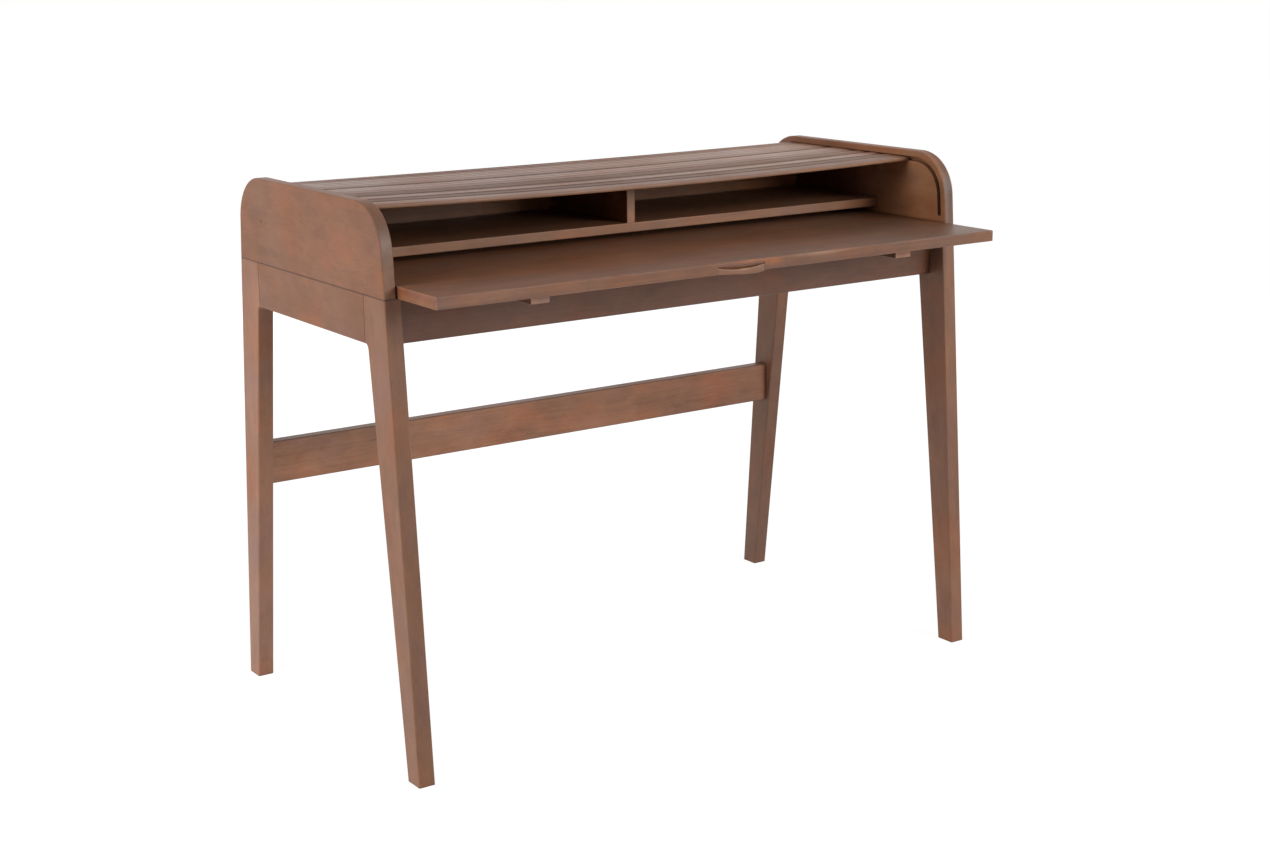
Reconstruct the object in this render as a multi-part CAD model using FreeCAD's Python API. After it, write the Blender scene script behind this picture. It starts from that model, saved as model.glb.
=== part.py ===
import FreeCAD, Part
import math
import os

# A tambour desk: a low case between two curved side panels, on two splayed-leg side frames.
# A worktop slides forward out of the case, and a curtain of slats slides over a fixed shelf.
# Millimetres. +X is the right, +Y the back and +Z up. The origin is on the floor, under the
# middle of the desk's box as it stands with the worktop drawn out and the curtain open.

V = FreeCAD.Vector

# ---- overall sizes -------------------------------------------------------------------------
WIDTH = 1100.0
HEIGHT = 860.0
FOOT_DEPTH = 604.0           # front toe to back toe, on the floor
SEAM_HEIGHT = 725.0          # where the side panel stands on the side frame
SEAM_DEPTH = 494.0           # front to back at that seam

# ---- side frames ---------------------------------------------------------------------------
FRAME_THICK = 27.0
LEG_TOE_WIDE = 36.0
LEG_TOP_WIDE = 63.0          # leg width at the underside of the side rail
SIDE_RAIL_HIGH = 72.5
LEG_FILLET_R = 8.0           # inside corner between leg and side rail
EDGE_R = 2.5                 # softened edges of legs, rails and panels
SEAM_BEVEL = 0.6             # fine bevel that marks a joint on the outer faces

# ---- side panels and the tambour groove ----------------------------------------------------
PANEL_THICK = 20.0
PANEL_CORNER_R = 75.0
GROOVE_INSET = 14.5          # panel edge to the middle of the groove
GROOVE_WIDE = 8.0
GROOVE_DEEP = 8.0
GROOVE_FRONT_STOP = 28.0     # height of the groove's lower front end above the seam

# ---- cross members -------------------------------------------------------------------------
APRON_THICK = 20.0
APRON_INSET = 30.0           # outer faces of both aprons, inside the ends of the seam
STRETCHER_THICK = 23.0
STRETCHER_HIGH = 71.0
STRETCHER_BOTTOM = 343.5
CLEAT_SIZE = 30.0
CLEAT_HIGH = 58.0
CLEAT_DROP = 7.0             # cleat top below the apron top

# ---- worktop -------------------------------------------------------------------------------
WORKTOP_THICK = 18.0
WORKTOP_LIFT = 0.6           # running gap above the frame
WORKTOP_SIDE_GAP = 1.5
WORKTOP_OUT = 115.5          # how far it is drawn out
WORKTOP_SETBACK = 1.0        # closed front edge behind the panels' front edge
WORKTOP_BACK_GAP = 0.5
WORKTOP_EDGE_R = 1.8
RUNNER_WIDE = 32.0
RUNNER_THICK = 13.2
RUNNER_AT = 348.0
RUNNER_FRONT_INSET = 21.0
RUNNER_BACK_INSET = 9.0
RUNNER_GAP = 0.5             # round a runner in its apron notch
STOP_WIDE = 30.0
STOP_DEEP = 25.0
STOP_GAP = 0.5               # stop block to the apron's back face, worktop drawn out
STOP_OFFSET = 18.0           # runner's side to the stop block's near side, less half a notch gap
PULL_WIDE = 90.0
PULL_DEEP = 16.0
PULL_COVER = 5.6             # worktop left over the pull
PULL_HANG = 3.8              # pull below the worktop's underside
SCOOP_DEEP = 7.0
SCOOP_R = 6.0                # cove between the scoop's back and the lip
SCOOP_LIFT = 5.0             # the lip's upper side above the worktop's underside
LIP_EDGE_R = 0.6

# ---- shelf, divider and inner back ---------------------------------------------------------
SHELF_THICK = 15.5
SHELF_GAP = 10.8             # above the worktop
SHELF_INSET = 175.0          # shelf's front edge behind the front end of the seam
DIVIDER_THICK = 16.0
DIVIDER_OFFSET = -4.0
DIVIDER_TOP_GAP = 7.2        # below the canvas
BACK_INSET = 90.0            # inner back's front face, inside the back end of the seam
BACK_THICK = 12.0
BACK_TOP_GAP = 6.2           # below the canvas
BACK_LIFT = 0.5
CASE_EDGE_R = 1.5

# ---- tambour curtain -----------------------------------------------------------------------
SLAT_OUTER = 2.5             # slat's outer face from the middle of the groove
SLAT_PLAY = 0.4              # slat's inner face to the groove's inner wall
SLAT_PITCH = 18.1
SLAT_GAP = 1.0
SLAT_END_GAP = 0.3           # slat end to panel
SLAT_BEVEL = 1.0             # outer edges
SLAT_RELIEF = 1.4            # inner edges, so that the curtain can bend
LEAD_WIDE = 36.0
LEAD_PLAY = 0.0              # lead rail's inner face to the line of the groove's inner wall
LEAD_EDGE_R = 1.2
CURTAIN_FRONT = 17.7         # open curtain's front edge behind the start of the front curve
CURTAIN_TAIL_GAP = 1.5       # least height of the open curtain's tail above the seam
CANVAS_THICK = 0.7
CANVAS_GLUE = 0.1
CANVAS_END_INSET = 15.0

# ---- dowels and screws ---------------------------------------------------------------------
DOWEL_D = 8.0
CASE_DOWEL_D = 6.0
PANEL_DOWEL_LONG = 40.0
PANEL_DOWEL_INSET = 42.0     # first dowel from the end of the seam
FRAME_DOWEL_LONG = 30.0
CASE_DOWEL_LONG = 20.0
HOLE_GAP = 0.1               # round a dowel or a screw
HOLE_END_GAP = 0.5
SCREW_D = 4.0
SCREW_HEAD_D = 8.0
SCREW_HEAD_HIGH = 2.4
CLEAT_SCREW_LONG = 45.0
WORKTOP_SCREW_LONG = 24.0

# ---- derived places ------------------------------------------------------------------------
HALF = WIDTH / 2
FRAME_IN = HALF - FRAME_THICK
PANEL_IN = HALF - PANEL_THICK
SPLAY = (FOOT_DEPTH - SEAM_DEPTH) / 2 / SEAM_HEIGHT
LEAN = math.atan(SPLAY)
RAIL_BOTTOM = SEAM_HEIGHT - SIDE_RAIL_HIGH
APRON_OUT = SEAM_DEPTH / 2 - APRON_INSET
SHELF_FRONT = SHELF_INSET - SEAM_DEPTH / 2
BACK_FRONT = SEAM_DEPTH / 2 - BACK_INSET

PANEL_CORNER_Y = SEAM_DEPTH / 2 - SPLAY * (HEIGHT - SEAM_HEIGHT)
CURVE_Y = PANEL_CORNER_Y - PANEL_CORNER_R / math.tan((math.pi / 2 + LEAN) / 2)
CURVE_Z = HEIGHT - PANEL_CORNER_R
TRACK_R = PANEL_CORNER_R - GROOVE_INSET
TRACK_TURN = math.pi / 2 - LEAN

WORKTOP_BOTTOM = SEAM_HEIGHT + WORKTOP_LIFT
WORKTOP_TOP = WORKTOP_BOTTOM + WORKTOP_THICK
WORKTOP_FRONT_IN = WORKTOP_SETBACK - SEAM_DEPTH / 2
WORKTOP_BACK_IN = BACK_FRONT - WORKTOP_BACK_GAP
WORKTOP_FRONT = WORKTOP_FRONT_IN - WORKTOP_OUT
WORKTOP_BACK = WORKTOP_BACK_IN - WORKTOP_OUT

SHELF_BOTTOM = WORKTOP_TOP + SHELF_GAP
SHELF_TOP = SHELF_BOTTOM + SHELF_THICK
SLAT_INNER = GROOVE_WIDE / 2 - SLAT_PLAY
LEAD_INNER = GROOVE_WIDE / 2 - LEAD_PLAY
CANVAS_UNDER = CURVE_Z + TRACK_R - SLAT_INNER - CANVAS_GLUE - CANVAS_THICK

# as many slats as fit between the lead rail and the groove's lower back end
TAIL_STRAIGHT_TOP = CURVE_Z + TRACK_R * math.cos(TRACK_TURN)
TAIL_DROP = (TAIL_STRAIGHT_TOP - SEAM_HEIGHT - CURTAIN_TAIL_GAP) / math.cos(LEAN)
TRACK_LENGTH = 2 * CURVE_Y + TRACK_R * TRACK_TURN + TAIL_DROP
SLAT_COUNT = int((TRACK_LENGTH - CURTAIN_FRONT - LEAD_WIDE) / SLAT_PITCH)

# the origin lies under the middle of the whole box, and the feet stand this far behind it
SHIFT_Y = -(WORKTOP_FRONT + FOOT_DEPTH / 2) / 2


# ---- helpers -------------------------------------------------------------------------------
def box(x0, x1, y0, y1, z0, z1):
    return Part.makeBox(x1 - x0, y1 - y0, z1 - z0, V(x0, y0, z0))


def prism(points, travel):
    """A flat polygon pushed along a vector."""
    return Part.Face(Part.makePolygon(points + [points[0]])).extrude(travel)


def arc(start, middle, end):
    return Part.Arc(start, middle, end).toShape()


def aimed(shape, place, direction):
    """Turn a shape that points along +Z towards direction, and move it to place."""
    moved = shape.copy()
    moved.Placement = FreeCAD.Placement(place, FreeCAD.Rotation(V(0, 0, 1), direction))
    return moved


def mirror_x(shape):
    return shape.mirror(V(0, 0, 0), V(1, 0, 0))


def mirror_y(shape):
    return shape.mirror(V(0, 0, 0), V(0, 1, 0))


def edges_where(shape, test):
    return [edge for edge in shape.Edges if test(edge)]


def all_near(edge, axis, value):
    """True where the whole edge lies on the plane axis = value."""
    low = getattr(edge.BoundBox, axis + "Min")
    high = getattr(edge.BoundBox, axis + "Max")
    return abs(low - value) < 0.01 and abs(high - value) < 0.01


def cut_all(shape, tools):
    for tool in tools:
        shape = shape.cut(tool)
    return shape


def save(name, shapes):
    """Move into the row's frame and write one STEP file."""
    shape = shapes if not isinstance(shapes, list) else Part.makeCompound(shapes)
    shape = shape.copy()
    shape.translate(V(0, SHIFT_Y, 0))
    shape.exportStep("parts/" + name + ".step")


# ---- dowels and screws ---------------------------------------------------------------------
def dowel(centre, direction, diameter, length):
    peg = Part.makeCylinder(diameter / 2, length, V(0, 0, -length / 2))
    ends = edges_where(peg, lambda e: e.Curve.TypeId == "Part::GeomCircle")
    return aimed(peg.makeChamfer(0.6, ends), centre, direction)


def dowel_hole(centre, direction, diameter, length):
    deep = length + 2 * HOLE_END_GAP
    hole = Part.makeCylinder(diameter / 2 + HOLE_GAP, deep, V(0, 0, -deep / 2))
    return aimed(hole, centre, direction)


def screw(head, direction, length, gap=0.0):
    """A countersunk screw whose head's flat top is at head. A gap makes the hole for it."""
    shank_r = SCREW_D / 2 + gap
    head_r = SCREW_HEAD_D / 2 + gap
    body = Part.makeCone(head_r, shank_r, SCREW_HEAD_HIGH)
    shank_long = length - SCREW_HEAD_HIGH - SCREW_D / 2
    body = body.fuse(Part.makeCylinder(shank_r, shank_long, V(0, 0, SCREW_HEAD_HIGH)))
    tip = Part.makeCone(shank_r, shank_r / 4, SCREW_D / 2 + gap, V(0, 0, length - SCREW_D / 2))
    body = body.fuse(tip).removeSplitter()
    if gap == 0.0:
        slot = box(-0.5, 0.5, -SCREW_HEAD_D / 3, SCREW_HEAD_D / 3, -1.0, 0.9)
        cross = box(-SCREW_HEAD_D / 3, SCREW_HEAD_D / 3, -0.5, 0.5, -1.0, 0.9)
        body = body.cut(slot).cut(cross)
    return aimed(body, head, direction)


def panel_dowel_places():
    """Upright dowels on the seam between a side frame and its panel: right side."""
    x = HALF - PANEL_THICK / 2
    end = SEAM_DEPTH / 2 - PANEL_DOWEL_INSET
    return [V(x, end * share, SEAM_HEIGHT) for share in (-1.0, -0.5, 0.0, 0.5, 1.0)]


def rail_seam_y():
    """Where the side rail meets the front leg."""
    corner = FOOT_DEPTH / 2 - SPLAY * RAIL_BOTTOM - LEG_TOP_WIDE
    inner_lean = math.atan(inner_splay())
    return corner - LEG_FILLET_R / math.tan((math.pi / 2 + inner_lean) / 2)


def inner_splay():
    """Run per rise of a leg's inner edge."""
    outer_top = FOOT_DEPTH / 2 - SPLAY * RAIL_BOTTOM
    return (FOOT_DEPTH / 2 - LEG_TOE_WIDE - (outer_top - LEG_TOP_WIDE)) / RAIL_BOTTOM


def rail_dowel_places():
    """Dowels along Y between the front leg and the side rail: right side."""
    low = RAIL_BOTTOM + 15.5
    x = HALF - FRAME_THICK / 2
    return [V(x, -rail_seam_y(), z) for z in (low, low + 26.0)]


def apron_dowel_places(outer_y):
    """Dowels along X between an apron and the right frame."""
    y = outer_y - math.copysign(APRON_THICK / 2, outer_y)
    return [V(FRAME_IN, y, RAIL_BOTTOM + rise) for rise in (17.5, 47.5)]


def stretcher_middle_y():
    """Middle of the back leg at the stretcher's height."""
    z = STRETCHER_BOTTOM + STRETCHER_HIGH / 2
    outer = FOOT_DEPTH / 2 - SPLAY * z
    inner = FOOT_DEPTH / 2 - LEG_TOE_WIDE - inner_splay() * z
    return (outer + inner) / 2


def stretcher_dowel_places():
    y = stretcher_middle_y()
    rises = (STRETCHER_HIGH / 4, STRETCHER_HIGH * 3 / 4)
    return [V(FRAME_IN, y, STRETCHER_BOTTOM + rise) for rise in rises]


def case_side_dowel_places():
    """Small dowels along X that hold the shelf and the inner back to the right panel."""
    shelf_z = SHELF_BOTTOM + SHELF_THICK / 2
    back_y = BACK_FRONT + BACK_THICK / 2
    shelf = [V(PANEL_IN, y, shelf_z) for y in (SHELF_FRONT + 22, SHELF_FRONT + 112, BACK_FRONT - 27)]
    back = [V(PANEL_IN, back_y, SEAM_HEIGHT + rise) for rise in (27.0, 80.0)]
    return shelf + back


def shelf_back_dowel_places():
    """Small dowels along Y between the shelf and the inner back."""
    z = SHELF_BOTTOM + SHELF_THICK / 2
    return [V(x, BACK_FRONT - 2.0, z) for x in (-380.0, -130.0, 130.0, 380.0)]


def divider_dowel_places():
    """Small upright dowels between the shelf and the divider."""
    return [V(DIVIDER_OFFSET, y, SHELF_TOP) for y in (SHELF_FRONT + 42, BACK_FRONT - 42)]


def both_sides(places):
    return places + [V(-p.x, p.y, p.z) for p in places]


def front_and_back(places):
    return places + [V(p.x, -p.y, p.z) for p in places]


def holes(places, direction, diameter, length):
    return [dowel_hole(p, direction, diameter, length) for p in places]


def pegs(places, direction, diameter, length):
    return [dowel(p, direction, diameter, length) for p in places]


X_AXIS = V(1, 0, 0)
Y_AXIS = V(0, 1, 0)
Z_AXIS = V(0, 0, 1)


# ---- the panel's outline, and the track that runs parallel to it ---------------------------
def side_y(inset, z):
    """Half depth, at height z, of the outline moved inwards by inset."""
    radius = PANEL_CORNER_R - inset
    tangent_y = CURVE_Y + radius * math.cos(LEAN)
    tangent_z = CURVE_Z + radius * math.sin(LEAN)
    return tangent_y + (tangent_z - z) * math.tan(LEAN)


def outline_face(inset, bottom, x):
    """The side panel's outline, moved inwards by inset and ended at height bottom."""
    radius = PANEL_CORNER_R - inset
    middle = (math.pi / 2 - LEAN) / 2

    def at(y, z):
        return V(x, y, z)

    def on_curve(turn, side):
        return at(side * (CURVE_Y + radius * math.sin(turn)), CURVE_Z + radius * math.cos(turn))

    foot = side_y(inset, bottom)
    front_foot = at(-foot, bottom)
    back_foot = at(foot, bottom)
    front = [on_curve(turn, -1) for turn in (TRACK_TURN, middle, 0.0)]
    back = [on_curve(turn, 1) for turn in (0.0, middle, TRACK_TURN)]
    edges = [
        Part.makeLine(front_foot, front[0]),
        arc(*front),
        Part.makeLine(front[2], back[0]),
        arc(*back),
        Part.makeLine(back[2], back_foot),
        Part.makeLine(back_foot, front_foot),
    ]
    return Part.Face(Part.Wire(edges))


def track_ring(inset_near, inset_far, bottom, x0, x1):
    """The solid between two insets of the outline: an upturned U that runs along X."""
    ring = outline_face(inset_near, bottom, x0).cut(outline_face(inset_far, bottom, x0))
    return ring.extrude(V(x1 - x0, 0, 0))


def track_point(run):
    """Place and turn on the track. run is 0 where the front curve starts, + towards the front."""
    flat = 2 * CURVE_Y
    curve = TRACK_R * TRACK_TURN
    if -flat <= run <= 0:
        return -CURVE_Y - run, CURVE_Z + TRACK_R, 0.0
    side = -1 if run > 0 else 1
    past = run if run > 0 else -run - flat
    turn = min(past / TRACK_R, TRACK_TURN)
    rest = max(past - curve, 0.0)
    y = CURVE_Y + TRACK_R * math.sin(turn) + rest * math.cos(turn)
    z = CURVE_Z + TRACK_R * math.cos(turn) - rest * math.sin(turn)
    return side * y, z, -side * turn


# ---- side frames and panels ----------------------------------------------------------------
def front_leg():
    """The right front leg, splayed forward, with the rail's shoulder at its top."""
    toe = FOOT_DEPTH / 2
    seam = SEAM_DEPTH / 2
    lean_in = math.atan(inner_splay())
    corner = toe - SPLAY * RAIL_BOTTOM - LEG_TOP_WIDE
    shoulder = rail_seam_y()
    run = corner - shoulder
    centre_z = RAIL_BOTTOM - LEG_FILLET_R
    low = V(FRAME_IN, -(corner + run * math.sin(lean_in)), RAIL_BOTTOM - run * math.cos(lean_in))
    top = V(FRAME_IN, -shoulder, RAIL_BOTTOM)
    turn = (math.pi / 2 - lean_in) / 2
    middle_y = -(shoulder + LEG_FILLET_R * math.sin(turn))
    middle = V(FRAME_IN, middle_y, centre_z + LEG_FILLET_R * math.cos(turn))
    corners = [
        top,
        V(FRAME_IN, -shoulder, SEAM_HEIGHT),
        V(FRAME_IN, -seam, SEAM_HEIGHT),
        V(FRAME_IN, -toe, 0),
        V(FRAME_IN, -toe + LEG_TOE_WIDE, 0),
        low,
    ]
    edges = [Part.makeLine(a, b) for a, b in zip(corners, corners[1:])]
    edges.append(arc(low, middle, top))
    leg = Part.Face(Part.Wire(edges)).extrude(V(FRAME_THICK, 0, 0))

    def is_long(edge):
        on_face = all_near(edge, "X", FRAME_IN) or all_near(edge, "X", HALF)
        at_end = all_near(edge, "Z", 0) or all_near(edge, "Z", SEAM_HEIGHT)
        return on_face and not at_end and not all_near(edge, "Y", -shoulder)

    leg = leg.makeFillet(EDGE_R, edges_where(leg, is_long))
    tools = holes(panel_dowel_places(), Z_AXIS, DOWEL_D, PANEL_DOWEL_LONG)
    tools += holes(rail_dowel_places(), Y_AXIS, DOWEL_D, FRAME_DOWEL_LONG)
    tools += holes(apron_dowel_places(-APRON_OUT), X_AXIS, DOWEL_D, FRAME_DOWEL_LONG)
    tools += cleat_frame_screws(HOLE_GAP)
    return cut_all(leg, tools)


def side_rail():
    """The right side rail, with its ends against both legs."""
    end = rail_seam_y()
    rail = box(FRAME_IN, HALF, -end, end, RAIL_BOTTOM, SEAM_HEIGHT)

    def is_end(edge):
        return all_near(edge, "X", HALF) and (all_near(edge, "Y", -end) or all_near(edge, "Y", end))

    def is_lower(edge):
        on_face = all_near(edge, "X", FRAME_IN) or all_near(edge, "X", HALF)
        return all_near(edge, "Z", RAIL_BOTTOM) and on_face

    rail = rail.makeChamfer(SEAM_BEVEL, edges_where(rail, is_end))
    rail = rail.makeFillet(EDGE_R, edges_where(rail, is_lower))
    tools = holes(panel_dowel_places(), Z_AXIS, DOWEL_D, PANEL_DOWEL_LONG)
    tools += holes(front_and_back(rail_dowel_places()), Y_AXIS, DOWEL_D, FRAME_DOWEL_LONG)
    tools += cleat_frame_screws(HOLE_GAP)
    return cut_all(rail, tools)


def side_panel():
    """The right side panel, with rounded upper corners and the curtain's groove."""
    panel = outline_face(0.0, SEAM_HEIGHT, PANEL_IN).extrude(V(PANEL_THICK, 0, 0))

    def is_rim(edge):
        on_face = all_near(edge, "X", PANEL_IN) or all_near(edge, "X", HALF)
        return on_face and not all_near(edge, "Z", SEAM_HEIGHT)

    def is_seam(edge):
        return all_near(edge, "X", HALF) and all_near(edge, "Z", SEAM_HEIGHT)

    panel = panel.makeFillet(EDGE_R, edges_where(panel, is_rim))
    panel = panel.makeChamfer(SEAM_BEVEL, edges_where(panel, is_seam))
    near = GROOVE_INSET - GROOVE_WIDE / 2
    far = GROOVE_INSET + GROOVE_WIDE / 2
    groove = track_ring(near, far, SEAM_HEIGHT - 1, PANEL_IN - 1, PANEL_IN + GROOVE_DEEP)
    end_z = SEAM_HEIGHT + GROOVE_FRONT_STOP + GROOVE_WIDE / 2
    groove = groove.cut(box(PANEL_IN - 2, HALF, -FOOT_DEPTH, 0, 0, end_z))
    end_at = V(PANEL_IN - 1, -side_y(GROOVE_INSET, end_z), end_z)
    groove = groove.fuse(Part.makeCylinder(GROOVE_WIDE / 2, GROOVE_DEEP + 1, end_at, X_AXIS))
    tools = [groove]
    tools += holes(panel_dowel_places(), Z_AXIS, DOWEL_D, PANEL_DOWEL_LONG)
    tools += holes(case_side_dowel_places(), X_AXIS, CASE_DOWEL_D, CASE_DOWEL_LONG)
    return cut_all(panel, tools)


# ---- cross members -------------------------------------------------------------------------
def rounded_bar(x_half, y0, y1, z0, z1, radius, faces=("y0z0", "y1z0", "y0z1", "y1z1")):
    """A bar along X with some of its four long edges rounded."""
    bar = box(-x_half, x_half, y0, y1, z0, z1)
    sides = {"y0": y0, "y1": y1, "z0": z0, "z1": z1}

    def chosen(edge):
        return any(
            all_near(edge, "Y", sides[f[:2]]) and all_near(edge, "Z", sides[f[2:]]) for f in faces
        )

    return bar.makeFillet(radius, edges_where(bar, chosen))


def apron(outer_y):
    """A cross rail under the worktop. The front one has notches for the worktop's runners."""
    inner_y = outer_y - math.copysign(APRON_THICK, outer_y)
    y0, y1 = sorted((outer_y, inner_y))
    bar = rounded_bar(FRAME_IN, y0, y1, RAIL_BOTTOM, SEAM_HEIGHT, EDGE_R, ("y0z0", "y1z0"))
    tools = holes(both_sides(apron_dowel_places(outer_y)), X_AXIS, DOWEL_D, FRAME_DOWEL_LONG)
    tools += cleat_apron_screws(HOLE_GAP, math.copysign(1, outer_y))
    if outer_y < 0:
        reach = RUNNER_WIDE / 2 + RUNNER_GAP
        floor = WORKTOP_BOTTOM - RUNNER_THICK - RUNNER_GAP
        for x in (-RUNNER_AT, RUNNER_AT):
            tools.append(box(x - reach, x + reach, y0 - 1, y1 + 1, floor, SEAM_HEIGHT + 1))
    return cut_all(bar, tools)


def stretcher():
    middle = stretcher_middle_y()
    half = STRETCHER_THICK / 2
    top = STRETCHER_BOTTOM + STRETCHER_HIGH
    bar = rounded_bar(FRAME_IN, middle - half, middle + half, STRETCHER_BOTTOM, top, EDGE_R)
    places = both_sides(stretcher_dowel_places())
    return cut_all(bar, holes(places, X_AXIS, DOWEL_D, FRAME_DOWEL_LONG))


def cleat_span():
    """The front cleat's Y range, behind the front apron."""
    back_of_apron = -APRON_OUT + APRON_THICK
    return back_of_apron, back_of_apron + CLEAT_SIZE


def cleat_levels():
    top = SEAM_HEIGHT - CLEAT_DROP
    return top - CLEAT_HIGH, top


def cleat_frame_screws(gap=0.0):
    """Screws from the right cleats, front and back, into the right frame."""
    back = cleat_span()[1]
    low = cleat_levels()[0]
    spots = [V(FRAME_IN - CLEAT_SIZE, back - 9.0, low + rise) for rise in (21.0, 48.0)]
    return [screw(p, X_AXIS, CLEAT_SCREW_LONG, gap) for p in front_and_back(spots)]


def cleat_apron_screws(gap=0.0, side=-1):
    """Screws from both cleats of one apron into that apron. side is -1 at the front."""
    back = cleat_span()[1]
    low = cleat_levels()[0]
    x = FRAME_IN - CLEAT_SIZE + 11.0
    spots = [V(x, -side * back, low + rise) for rise in (8.0, 34.5)]
    return [screw(p, V(0, side, 0), CLEAT_SCREW_LONG, gap) for p in both_sides(spots)]


def front_cleat():
    """The right front corner cleat, screwed to the frame and to the apron."""
    y0, y1 = cleat_span()
    z0, z1 = cleat_levels()
    block = box(FRAME_IN - CLEAT_SIZE, FRAME_IN, y0, y1, z0, z1)

    def is_nose(edge):
        return all_near(edge, "X", FRAME_IN - CLEAT_SIZE) and all_near(edge, "Y", y1)

    block = block.makeChamfer(4.0, edges_where(block, is_nose))
    return cut_all(block, cleat_frame_screws(HOLE_GAP) + cleat_apron_screws(HOLE_GAP, -1))


# ---- worktop -------------------------------------------------------------------------------
def worktop_x():
    return PANEL_IN - WORKTOP_SIDE_GAP


def pull_box(grow=0.0):
    """The room that the finger pull takes in the worktop's front edge."""
    top = WORKTOP_TOP - PULL_COVER
    half = PULL_WIDE / 2
    return box(-half, half, WORKTOP_FRONT - grow, WORKTOP_FRONT + PULL_DEEP,
               WORKTOP_BOTTOM - grow, top)


def worktop():
    top = rounded_bar(worktop_x(), WORKTOP_FRONT, WORKTOP_BACK, WORKTOP_BOTTOM, WORKTOP_TOP,
                      WORKTOP_EDGE_R)
    tools = [pull_box(grow=1.0)]
    tools += worktop_screws(HOLE_GAP)
    return cut_all(top, tools)


def finger_pull():
    """A lip set into the front edge, hollowed for the fingertips, with a bowed lower edge."""
    half = PULL_WIDE / 2
    top = WORKTOP_TOP - PULL_COVER
    corner = [V(-half, WORKTOP_FRONT, z) for z in (WORKTOP_BOTTOM, top)]
    far = [V(half, WORKTOP_FRONT, z) for z in (top, WORKTOP_BOTTOM)]
    low = V(0, WORKTOP_FRONT, WORKTOP_BOTTOM - PULL_HANG)
    edges = [
        Part.makeLine(corner[0], corner[1]),
        Part.makeLine(corner[1], far[0]),
        Part.makeLine(far[0], far[1]),
        arc(far[1], low, corner[0]),
    ]
    lip = Part.Face(Part.Wire(edges)).extrude(V(0, PULL_DEEP, 0))
    floor = WORKTOP_BOTTOM + SCOOP_LIFT
    back = WORKTOP_FRONT + SCOOP_DEEP
    ahead = WORKTOP_FRONT - 1
    cove_at = V(-half, back - SCOOP_R, floor + SCOOP_R)
    scoop = box(-half, half, ahead, back, floor + SCOOP_R, top + 1)
    scoop = scoop.fuse(box(-half, half, ahead, back - SCOOP_R, floor, top + 1))
    scoop = scoop.fuse(Part.makeCylinder(SCOOP_R, PULL_WIDE, cove_at, X_AXIS))
    lip = lip.cut(scoop.removeSplitter())

    def is_lip_edge(edge):
        return all_near(edge, "Y", WORKTOP_FRONT) and all_near(edge, "Z", floor)

    return lip.makeFillet(LIP_EDGE_R, edges_where(lip, is_lip_edge))


def runner_span():
    return WORKTOP_FRONT + RUNNER_FRONT_INSET, WORKTOP_BACK - RUNNER_BACK_INSET


def runner():
    """The right runner, a batten under the worktop that slides in the apron's notch."""
    y0, y1 = runner_span()
    half = RUNNER_WIDE / 2
    z1 = WORKTOP_BOTTOM
    batten = box(RUNNER_AT - half, RUNNER_AT + half, y0, y1, z1 - RUNNER_THICK, z1)

    def is_low(edge):
        return all_near(edge, "Z", z1 - RUNNER_THICK)

    batten = batten.makeChamfer(0.8, edges_where(batten, is_low))
    return cut_all(batten, worktop_screws(HOLE_GAP))


def stop_place():
    """X and Y where the right stop block starts."""
    x = RUNNER_AT + STOP_OFFSET
    y = -APRON_OUT + APRON_THICK + STOP_GAP
    return x, y


def stop_block():
    """The right stop: it meets the apron's back face when the worktop is drawn out."""
    x, y = stop_place()
    block = box(x, x + STOP_WIDE, y, y + STOP_DEEP, WORKTOP_BOTTOM - RUNNER_THICK, WORKTOP_BOTTOM)
    return cut_all(block, worktop_screws(HOLE_GAP))


def worktop_screws(gap=0.0):
    """Screws from below, through the runners and the stops, into the worktop."""
    y0, y1 = runner_span()
    x, y = stop_place()
    low = WORKTOP_BOTTOM - RUNNER_THICK
    spots = [V(RUNNER_AT, at, low) for at in (y0 + 30.0, (y0 + y1) / 2, y1 - 30.0)]
    spots += [V(x + STOP_WIDE * share, y + STOP_DEEP / 2, low) for share in (0.25, 0.75)]
    return [screw(p, Z_AXIS, WORKTOP_SCREW_LONG, gap) for p in both_sides(spots)]


# ---- shelf, divider and inner back ---------------------------------------------------------
def shelf():
    board = rounded_bar(PANEL_IN, SHELF_FRONT, BACK_FRONT, SHELF_BOTTOM, SHELF_TOP, CASE_EDGE_R,
                        ("y0z0", "y0z1"))
    tools = holes(both_sides(case_side_dowel_places()), X_AXIS, CASE_DOWEL_D, CASE_DOWEL_LONG)
    tools += holes(shelf_back_dowel_places(), Y_AXIS, CASE_DOWEL_D, CASE_DOWEL_LONG)
    tools += holes(divider_dowel_places(), Z_AXIS, CASE_DOWEL_D, CASE_DOWEL_LONG)
    return cut_all(board, tools)


def divider():
    x0 = DIVIDER_OFFSET - DIVIDER_THICK / 2
    x1 = DIVIDER_OFFSET + DIVIDER_THICK / 2
    board = box(x0, x1, SHELF_FRONT, BACK_FRONT, SHELF_TOP, CANVAS_UNDER - DIVIDER_TOP_GAP)

    def is_front(edge):
        on_side = all_near(edge, "X", x0) or all_near(edge, "X", x1)
        return all_near(edge, "Y", SHELF_FRONT) and on_side

    board = board.makeFillet(CASE_EDGE_R, edges_where(board, is_front))
    return cut_all(board, holes(divider_dowel_places(), Z_AXIS, CASE_DOWEL_D, CASE_DOWEL_LONG))


def inner_back():
    top = CANVAS_UNDER - BACK_TOP_GAP
    board = box(-PANEL_IN, PANEL_IN, BACK_FRONT, BACK_FRONT + BACK_THICK,
                SEAM_HEIGHT + BACK_LIFT, top)
    tools = holes(both_sides(case_side_dowel_places()), X_AXIS, CASE_DOWEL_D, CASE_DOWEL_LONG)
    tools += holes(shelf_back_dowel_places(), Y_AXIS, CASE_DOWEL_D, CASE_DOWEL_LONG)
    return cut_all(board, tools)


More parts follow.
